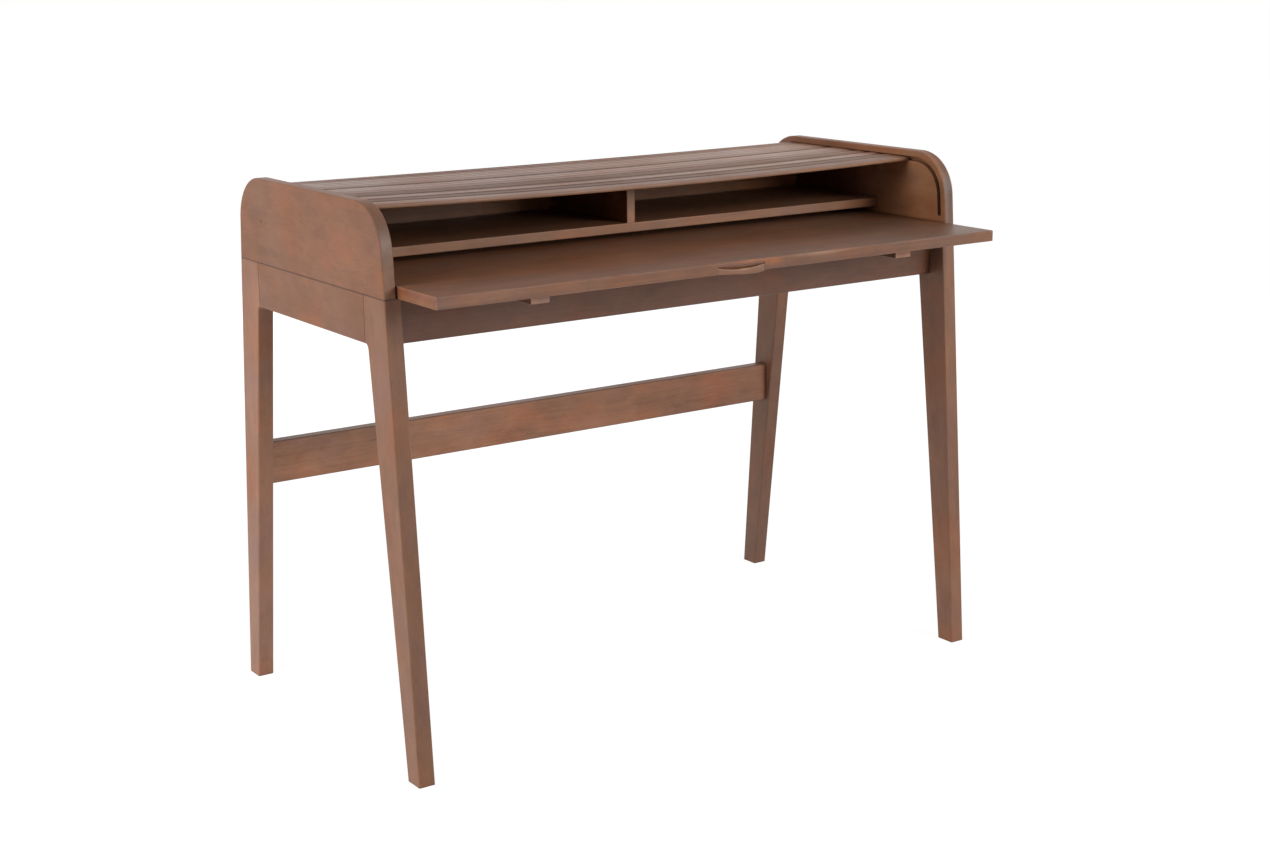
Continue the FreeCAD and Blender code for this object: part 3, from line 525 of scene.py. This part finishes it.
# how far a strip of canvas reaches from a slat's middle: where slats that sag go round the front
# curve, and on either side of a single slat elsewhere
STRIP_CURVED, STRIP_SINGLE = 7.1, 8.35
# half the gap between two slats, in a closed joint and for a depth of 1 on top of that
JOINT_CLOSED, JOINT_OPEN = 0.12, 0.83


def rounded(points, radii, steps=3):
    """The corners of a closed outline, each rounded by its own radius."""
    out = []
    count = len(points)
    for index, point in enumerate(points):
        here = Vector(point)
        radius = radii[index]
        if radius <= 0:
            out.append(here)
            continue
        before = (Vector(points[index - 1]) - here).normalized()
        after = (Vector(points[(index + 1) % count]) - here).normalized()
        half = before.angle(after) / 2
        reach = radius / math.tan(half)
        centre = here + (before + after).normalized() * radius / math.sin(half)
        start = here + before * reach - centre
        end = here + after * reach - centre
        for step in range(steps + 1):
            share = step / steps
            out.append(centre + (start.slerp(end, share)))
    return out


def loft(mesh, rings):
    """A skin over closed rings of points, with a face over each end."""
    size = len(rings[0])
    for low, high in zip(rings, rings[1:]):
        for k in range(size):
            mesh.faces.new((low[k], high[k], high[(k + 1) % size], low[(k + 1) % size]))
    mesh.faces.new(list(reversed(rings[0])))
    mesh.faces.new(rings[-1])


def evenly(half, cuts):
    """Places from -half to half."""
    return [-half + 2 * half * k / cuts for k in range(cuts + 1)]


def slat_mesh(name, run, front, back, inner, relief, lift, front_round, back_round,
              tongue_front=None):
    """One slat across the case, sagging between its ends, with a tongue at each end.
    front and back are how far it reaches from its middle on the track, and tongue_front is the
    same for its tongues. inner is its depth below the track, relief how much narrower it is
    there, lift how much higher its face is than the others', and the last are its edges' radii."""
    base = track_point(run)
    face = SLAT_OUT + lift
    body = rounded(
        [(front, 0.0), (front, face), (-back, face), (-back, 0.0),
         (-back + relief, -inner), (front - relief, -inner)],
        [0.0, front_round, back_round, 0.0, 0.4, 0.4],
    )
    tongue_back = min(front, back) - TONGUE_SHORT
    if tongue_front is None:
        tongue_front = tongue_back
    tongue = rounded(
        [(tongue_front, -TONGUE_IN), (tongue_front, TONGUE_OUT),
         (-tongue_back, TONGUE_OUT), (-tongue_back, -TONGUE_IN)],
        [TONGUE_ROUND] * 4, 2,
    )
    mesh = bmesh.new()
    rings = []
    for x in evenly(SLAT_END, 28):
        rings.append([mesh.verts.new(off_track(base, ahead, out - sag_at(run - ahead, x), x))
                      for ahead, out in body])
    loft(mesh, rings)
    for side in (-1, 1):
        ends = sorted((side * (SLAT_END - 1.0), side * (TONGUE_END - TONGUE_ROUND), side * TONGUE_END))
        rings = []
        for x in ends:
            shrink = 0.93 if abs(x) == TONGUE_END else 1.0
            rings.append([mesh.verts.new(off_track(base, ahead, out, x))
                          for ahead, out in (Vector(point) * shrink for point in tongue)])
        loft(mesh, rings)
    bmesh.ops.recalc_face_normals(mesh, faces=mesh.faces)
    return finish_mesh(name, mesh, smooth_angle=35)


def finish_mesh(name, mesh, smooth_angle):
    """An object of a mesh, smooth but for edges sharper than smooth_angle."""
    data = bpy.data.meshes.new(name)
    mesh.to_mesh(data)
    mesh.free()
    piece = bpy.data.objects.new(name, data)
    bpy.context.scene.collection.objects.link(piece)
    data.polygons.foreach_set("use_smooth", [True] * len(data.polygons))
    data.set_sharp_from_angle(angle=math.radians(smooth_angle))
    return piece


def canvas_strip(name, runs, front, back):
    """Cloth under one or more neighbouring slats: a thin closed sheet, sagging with them. It
    reaches front before the first slat's middle and back behind the last one's."""
    stations = evenly(CANVAS_HALF, 20)
    steps = [runs[0] + front]
    if len(runs) > 1:
        for run in runs[:-1]:
            steps += [run, run - SLAT_PITCH / 2]
        steps.append(runs[-1])
    steps.append(runs[-1] - back)
    mesh = bmesh.new()
    layers = []
    for out in (CANVAS_OVER, CANVAS_UNDER):
        grid = []
        for run in steps:
            base = track_point(run)
            grid.append([mesh.verts.new(off_track(base, 0.0, out - sag_at(run, x), x))
                         for x in stations])
        layers.append(grid)
    top, under = layers
    last_row, last = len(steps) - 1, len(stations) - 1
    for i in range(last_row):
        for k in range(last):
            mesh.faces.new((top[i][k], top[i][k + 1], top[i + 1][k + 1], top[i + 1][k]))
            mesh.faces.new((under[i][k], under[i + 1][k], under[i + 1][k + 1], under[i][k + 1]))
    for i in range(last_row):
        mesh.faces.new((top[i][0], top[i + 1][0], under[i + 1][0], under[i][0]))
        mesh.faces.new((top[i + 1][last], top[i][last], under[i][last], under[i + 1][last]))
    for k in range(last):
        mesh.faces.new((top[0][k + 1], top[0][k], under[0][k], under[0][k + 1]))
        mesh.faces.new((top[-1][k], top[-1][k + 1], under[-1][k + 1], under[-1][k]))
    bmesh.ops.recalc_face_normals(mesh, faces=mesh.faces)
    return finish_mesh(name, mesh, smooth_angle=60)


def body_of_slat(number):
    """The body that a slat rides on, and the canvas under it."""
    if number in FRONT_SINGLES or number in BACK_SINGLES:
        return "curtain_slat_%02d" % number
    return "curtain_top" if number < BACK_SINGLES.start else "curtain_tail"


def slat_run(number):
    """Where the middle of a slat is on the track, counted from the lead rail."""
    return -CURTAIN_FRONT - LEAD_WIDE - SLAT_PITCH * (number - 0.5)


# joints that stand wide, and slats that took more or less of the stain, counted from the lead rail
WIDE_JOINTS = (2, 4, 6, 10)
DARK_SLATS = (1, 2, 5)
LIGHT_SLATS = (3, 8, 9, 10, 12, 13, 14)
# the curtain is a little darker at its left end and lighter at its right one
CURTAIN_ENDS = [
    ((-0.52, 0.0, 0.8), (0.55, 1.0, 1.0), 1.0, (0.80, 0.74, 0.66)),
    ((0.52, 0.0, 0.8), (0.60, 1.0, 1.0), 1.0, (1.60, 1.85, 2.20)),
]


def joint_depth(number):
    """How wide the joint behind a slat is, and how dark its painted shade is; 0 is the lead rail."""
    if number in WIDE_JOINTS:
        return 1.05
    return 0.4 if number == 0 else 0.06 + 0.05 * math.sin(number * 2.9)


def slat_tone(number):
    """How much lighter or darker a slat is."""
    if number in DARK_SLATS:
        return -0.34
    return 0.26 if number in LIGHT_SLATS else 0.10 * math.sin(number * 5.3 + 1.0)


def rim_shade(run, low, high, back_depth, front_depth=0.0):
    """Painted shade along a slat's two long edges, low and high from its middle."""
    y, z, turn = track_point(run)
    ahead = Vector((0, -math.cos(turn), -math.sin(turn)))
    middle = ahead.dot(Vector((0, y + SHIFT_Y, z)))
    out = []
    for end, depth in ((low, back_depth), (high, front_depth)):
        if depth:
            half, strength = 0.0010 + 0.0026 * depth, 0.14 + 0.7 * depth
            out.append((tuple(ahead), (middle + end) * MM, half, strength))
    return out


def build_curtain():
    """The lead rail and the slats, each on its own body, and the canvas under them."""
    lead_run = -CURTAIN_FRONT - LEAD_WIDE / 2
    # its tongue stops short in front, clear of the groove's lower end when the curtain is closed
    lead = slat_mesh("lead_rail", lead_run, front=17.5, back=17.6, inner=3.0, relief=0.6, lift=0.0,
                     front_round=1.3, back_round=0.9, tongue_front=7.0)
    # painted light on the lead rail's front face, and painted shade along its joint behind
    lead.data.materials.append(
        wood("wood_lead_rail", "x", 5.1, mottle=0.6, painted_front_light=(1.2, 1.42, 1.6),
             shade_lines=rim_shade(lead_run, -17.7, 0.0, joint_depth(0)))
    )
    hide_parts("tambour_lead_rail")
    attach(lead, "curtain_lead")
    half = SLAT_PITCH / 2
    for number in range(1, SLAT_COUNT + 1):
        front, back = joint_depth(number - 1), joint_depth(number)
        name = "slat_%02d" % number
        slat = slat_mesh(
            name, slat_run(number), front=half - JOINT_CLOSED - JOINT_OPEN * front,
            back=half - JOINT_CLOSED - JOINT_OPEN * back, inner=3.4, relief=1.5,
            lift=0.07 * math.sin(number * 2.4) - 0.05,
            front_round=0.2 + 1.3 * front, back_round=0.2 + 1.3 * back,
        )
        tone = slat_tone(number)
        # painted shade along the slat's joints
        shade_lines = rim_shade(slat_run(number), -half, half, back, front)
        slat.data.materials.append(
            wood("wood_" + name, "x", 6.0 + 0.83 * number, mottle=0.6, rough=0.43 - 0.28 * tone,
                 tone=tone, wear_and_highlight=0.3, shade_lines=shade_lines, marks=CURTAIN_ENDS)
        )
        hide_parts("tambour_" + name)
        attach(slat, body_of_slat(number))
    build_canvas()


def strip_ends(group):
    """How far a strip reaches before its first slat's middle and behind its last one's."""
    free = STRIP_SINGLE if len(group) == 1 else SLAT_PITCH / 2
    curved = FRONT_SINGLES.stop
    return (STRIP_CURVED if group[0] <= curved else free,
            STRIP_CURVED if group[-1] < curved else free)


def build_canvas():
    """The cloth behind the slats, in one strip for each body of slats."""
    material = cloth("canvas")
    groups = [[n] for n in FRONT_SINGLES] + [list(range(FRONT_SINGLES.stop, BACK_SINGLES.start))]
    groups += [[n] for n in BACK_SINGLES] + [list(range(BACK_SINGLES.stop, SLAT_COUNT + 1))]
    for group in groups:
        front, back = strip_ends(group)
        strip = canvas_strip("canvas_%02d" % group[0], [slat_run(n) for n in group], front, back)
        strip.data.materials.append(material)
        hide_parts("tambour_canvas")
        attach(strip, body_of_slat(group[0]))


# ---- the finger pull -------------------------------------------------------------------------
PULL_HALF = 45.0
PULL_TOP = 738.0            # the roof of its scoop
PULL_BACK = 16.0
PULL_RIM = 732.3            # the upper edge of the pull's front, at its lowest
PULL_HANG = 3.8             # how far it hangs below the worktop, at most
PULL_LOWEST = 24.0          # where that is, right of its middle
PULL_SWELL = 48.0           # where it starts to hang, left of its middle
PULL_FADE = 30.0            # how far right of its lowest place it would be level again


def pull_section(x):
    """Across the pull at x: (back from the worktop's front edge, height), in mm."""
    away = abs(x) / PULL_HALF
    deep = 7.0 - 5.3 * away ** 2
    rim = PULL_RIM + 4.0 * ((x - 2.0) / PULL_HALF) ** 2
    if x < PULL_LOWEST:
        share = (x + PULL_SWELL) / (PULL_SWELL + PULL_LOWEST)
        hang = PULL_HANG * share * share * (3 - 2 * share)
    else:
        hang = PULL_HANG * (1 - ((x - PULL_LOWEST) / PULL_FADE) ** 2)
    low = WORKTOP_UNDER - hang
    over = PULL_TOP - rim
    return [
        (PULL_BACK, PULL_TOP), (deep, PULL_TOP), (deep, rim + 0.70 * over),
        (0.95 * deep, rim + 0.38 * over),
        (0.80 * deep, rim + 0.13 * over), (0.60 * deep, rim), (0.42 * deep, rim - 0.15),
        (0.26 * deep, rim - 0.55), (0.12 * deep, rim - 1.15), (0.03 * deep, rim - 1.9),
        (0.0, rim - 2.8), (0.0, low + 1.3), (0.15, low + 0.6), (0.55, low + 0.15), (1.2, low),
        (3.5, low + 0.02 * hang), (8.0, low + 0.3 * hang), (12.0, low + 0.7 * hang),
        (PULL_BACK, WORKTOP_UNDER),
    ]


def build_pull():
    """The carved finger pull in the worktop's front edge, in sections that lie closer at its ends."""
    front = WORKTOP_EDGE + SHIFT_Y
    sections = 36
    mesh = bmesh.new()
    rings = []
    for step in range(sections + 1):
        x = 44.95 * math.sin(math.pi * (step / sections - 0.5))
        rings.append([mesh.verts.new((x * MM, (front + y) * MM, z * MM))
                      for y, z in pull_section(x)])
    loft(mesh, rings)
    bmesh.ops.recalc_face_normals(mesh, faces=mesh.faces)
    pull = finish_mesh("finger_pull_lip", mesh, smooth_angle=40)
    # painted shade in thin bands at the pull's two ends
    end_shade = [((1, 0, 0), side * PULL_HALF * MM, 0.0012, 0.8) for side in (-1, 1)]
    # a painted highlight on the pull's rim
    rim_highlight = [((0.005, (front + 0.5) * MM, 0.7308), (0.014, 0.003, 0.0018), 0.8, (2.3, 2.8, 3.3))]
    # painted light on the pull's front faces
    pull.data.materials.append(
        wood("wood_finger_pull", "x", 31.7, streak=0.8, mottle=0.5, corner_shade=0.25,
             painted_front_light=(1.18, 1.32, 1.55), shade_lines=end_shade, marks=rim_highlight)
    )
    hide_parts("finger_pull")
    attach(pull, "worktop_body")


# ---- studio ----------------------------------------------------------------------------------
FOCAL_PX, WIDTH_PX = 1987.0, 1270.0
SENSOR = 36.0
EYE = Vector((-1.8340, -2.7316 + SHIFT_Y * MM, 1.2235))
YAW_PITCH_ROLL = (34.60, 13.77, -0.41)


def camera():
    """The photograph's viewpoint, in a frame 1270 by 847."""
    yaw, pitch, roll = (math.radians(angle) for angle in YAW_PITCH_ROLL)
    level = math.cos(pitch)
    ahead = Vector((math.sin(yaw) * level, math.cos(yaw) * level, -math.sin(pitch)))
    right = Vector((math.cos(yaw), -math.sin(yaw), 0.0))
    up = right.cross(ahead)
    turned_right = math.cos(roll) * right + math.sin(roll) * up
    turned_up = -math.sin(roll) * right + math.cos(roll) * up
    data = bpy.data.cameras.new("camera")
    data.sensor_fit = "HORIZONTAL"
    data.sensor_width = SENSOR
    data.lens = FOCAL_PX * SENSOR / WIDTH_PX
    data.clip_end = 200.0
    view = bpy.data.objects.new("camera", data)
    bpy.context.scene.collection.objects.link(view)
    basis = Matrix((turned_right, turned_up, -ahead)).transposed().to_4x4()
    basis.translation = EYE
    view.matrix_world = basis
    bpy.context.scene.camera = view


def white_to_eye(t, seen, real):
    """seen for the camera's and the mirrors' rays, and real for the light on the object."""
    path = t.add("LightPath")
    direct = t.math("MAXIMUM", path.outputs["Is Camera Ray"], path.outputs["Is Glossy Ray"])
    direct = t.math("MAXIMUM", direct, path.outputs["Is Transmission Ray"])
    return t.add("MixShader", {0: direct, 1: real, 2: seen}).outputs[0]


def floor():
    """A pale floor. It is white to the eye wherever the lamps reach, with a trace of the desk's
    shadow."""
    mesh = bmesh.new()
    bmesh.ops.create_grid(mesh, x_segments=8, y_segments=8, size=30.0)
    data = bpy.data.meshes.new("floor")
    mesh.to_mesh(data)
    mesh.free()
    ground = bpy.data.objects.new("floor", data)
    bpy.context.scene.collection.objects.link(ground)
    material = bpy.data.materials.new("floor")
    t = Tree(material)
    place = t.add("TexCoord").outputs["Object"]
    far = t.add("VectorMath", {0: place}, operation="LENGTH").outputs["Value"]
    strength = t.span(far, 0.7, 2.2, 0.94, 1.0)
    glow = t.add("Emission", {"Color": (1.0, 1.0, 1.0, 1.0), "Strength": strength})
    trace = t.add("BsdfDiffuse", {"Color": (0.14, 0.14, 0.14, 1.0)})
    eye = t.add("AddShader", {0: glow.outputs[0], 1: trace.outputs[0]}).outputs[0]
    pale = t.add("BsdfDiffuse", {"Color": (0.82, 0.82, 0.82, 1.0)}).outputs[0]
    t.add("OutputMaterial", {0: white_to_eye(t, eye, pale)})
    data.materials.append(material)


def world():
    """White for the eye and for reflections, and almost no light on the object."""
    sky = bpy.data.worlds.new("studio")
    bpy.context.scene.world = sky
    t = Tree(sky)
    white = t.add("Background", {"Color": (1.0, 1.0, 1.0, 1.0), "Strength": 1.0}).outputs[0]
    dim = t.add("Background", {"Color": (1.0, 1.0, 1.0, 1.0), "Strength": 0.02}).outputs[0]
    t.add("OutputWorld", {0: white_to_eye(t, white, dim)})


# azimuth from the front towards the right, elevation, distance, size, level, seen in reflections
LAMPS = {
    "left_low": (-90, 8, 3.6, 2.0, 0.50, False),
    "left_mid": (-90, 35, 3.6, 2.0, 0.25, True),
    "front_right": (25, 20, 3.8, 1.6, 0.48, True),
    "right_front": (50, 20, 3.8, 1.6, 0.12, True),
    "right_low": (90, 10, 3.6, 2.0, 0.20, False),
    "back_fill": (176, 8, 3.8, 2.0, 0.40, False),
}


def lamps():
    """Square lamps round the desk, aimed at the middle of it."""
    target = Vector((0, 0, 0.6))
    for name, (azimuth, rise, far, size, level, mirrored) in LAMPS.items():
        data = bpy.data.lights.new(name, "AREA")
        data.shape = "SQUARE"
        data.size = size
        # level 1 lights a surface that faces the lamp so that its colour shows as written
        data.energy = level * (math.pi * far) ** 2
        light = bpy.data.objects.new(name, data)
        bpy.context.scene.collection.objects.link(light)
        a, e = math.radians(azimuth), math.radians(rise)
        aim = Vector((math.sin(a) * math.cos(e), -math.cos(a) * math.cos(e), math.sin(e)))
        light.location = target + far * aim
        light.rotation_euler = (-aim).to_track_quat("-Z", "Y").to_euler()
        light.visible_glossy = mirrored


dress_all()
build_curtain()
build_pull()
camera()
floor()
world()
lamps()

bpy.context.scene.view_settings.view_transform = "Standard"
